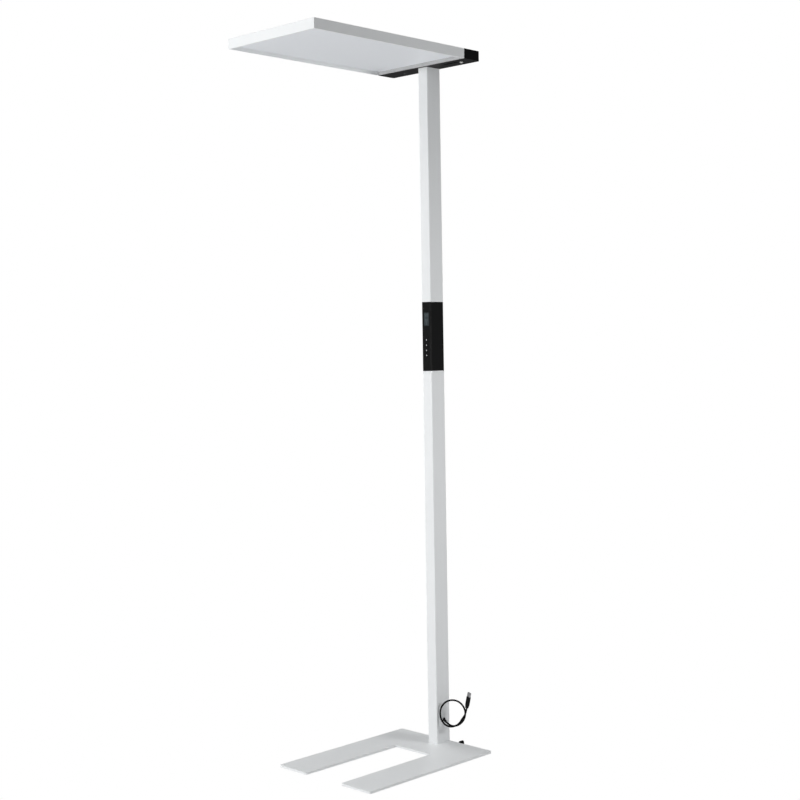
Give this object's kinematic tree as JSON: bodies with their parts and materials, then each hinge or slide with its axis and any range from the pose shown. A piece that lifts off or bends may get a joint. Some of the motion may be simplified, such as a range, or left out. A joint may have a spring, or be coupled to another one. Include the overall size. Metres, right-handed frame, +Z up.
{
  "type": "office floor lamp",
  "caption": "Free-standing office floor lamp: fork-shaped base plate, rectangular pole with a control unit, and a flat light head carried at its rear end.",
  "frame": {"origin": "on the floor, in the middle of the lamp's plan", "axes": "+Z up along the pole; +Y towards the rear, where the pole stands; +X to the right of someone who faces the control unit's keys from the front"},
  "size_m": [0.348, 0.632, 1.95],
  "materials": {
    "white_steel": "satin white powder coat",
    "white_aluminium": "satin white powder coat",
    "bare_steel": "bright zinc plate",
    "bare_aluminium": "mill finish",
    "driver_case": "satin",
    "black_plastic": "fine matt texture",
    "panel_plastic": "semi-gloss",
    "window_plastic": "gloss tinted",
    "display": "matt",
    "board": "satin solder resist",
    "switch_plastic": "matt",
    "opal": "satin opal",
    "led_strip": "satin",
    "lens_white": "satin milky",
    "lens_clear": "clear",
    "pad_rubber": "matt",
    "wire_jacket": "matt",
    "plug_steel": "bright",
    "plug_insulator": "satin"
  },
  "bodies": {
    "lamp": {"base_plate": "white_steel", "lower_pole": "white_aluminium", "upper_pole": "white_aluminium", "left_rail": "white_aluminium", "right_rail": "white_aluminium", "front_rail": "white_aluminium", "rear_rim": "white_aluminium", "top_panel": "white_aluminium", "unit_chassis": "bare_steel", "port_screws": "bare_steel", "head_bracket": "bare_steel", "cross_beam": "bare_steel", "beam_screws": "bare_steel", "channel_cover": "bare_steel", "corner_keys": "bare_aluminium", "rail_keys": "bare_aluminium", "light_plate": "bare_aluminium", "led_driver": "driver_case", "cap_housing": "black_plastic", "cap_cover": "black_plastic", "control_housing": "black_plastic", "mains_gland": "black_plastic", "usb_gland": "black_plastic", "usb_plug_body": "black_plastic", "control_panel": "panel_plastic", "display_window": "window_plastic", "motion_window": "window_plastic", "display_module": "display", "control_board": "board", "sensor_board": "board", "key_switches": "switch_plastic", "lower_diffuser": "opal", "upper_diffuser": "opal", "lower_light_strips": "led_strip", "upper_light_strips": "led_strip", "motion_lens": "lens_white", "light_sensor_window": "lens_clear", "base_pads": "pad_rubber", "mains_loom": "wire_jacket", "control_loom": "wire_jacket", "usb_inner_lead": "wire_jacket", "usb_cable": "wire_jacket", "usb_plug_shell": "plug_steel", "usb_plug_tongue": "plug_insulator"},
    "key_1_body": {"key_1": "panel_plastic"},
    "key_2_body": {"key_2": "panel_plastic"},
    "key_3_body": {"key_3": "panel_plastic"},
    "key_4_body": {"key_4": "panel_plastic"}
  },
  "joints": [
    {"name": "key_1_press", "type": "slide", "parent": "lamp", "child": "key_1_body", "axis": [0, 1, 0], "range_m": [0, 0.0005], "stiffness_N_per_m": 800, "springref_m": -0.0002},
    {"name": "key_2_press", "type": "slide", "parent": "lamp", "child": "key_2_body", "axis": [0, 1, 0], "range_m": [0, 0.0005], "stiffness_N_per_m": 800, "springref_m": -0.0002},
    {"name": "key_3_press", "type": "slide", "parent": "lamp", "child": "key_3_body", "axis": [0, 1, 0], "range_m": [0, 0.0005], "stiffness_N_per_m": 800, "springref_m": -0.0002},
    {"name": "key_4_press", "type": "slide", "parent": "lamp", "child": "key_4_body", "axis": [0, 1, 0], "range_m": [0, 0.0005], "stiffness_N_per_m": 800, "springref_m": -0.0002}
  ]
}
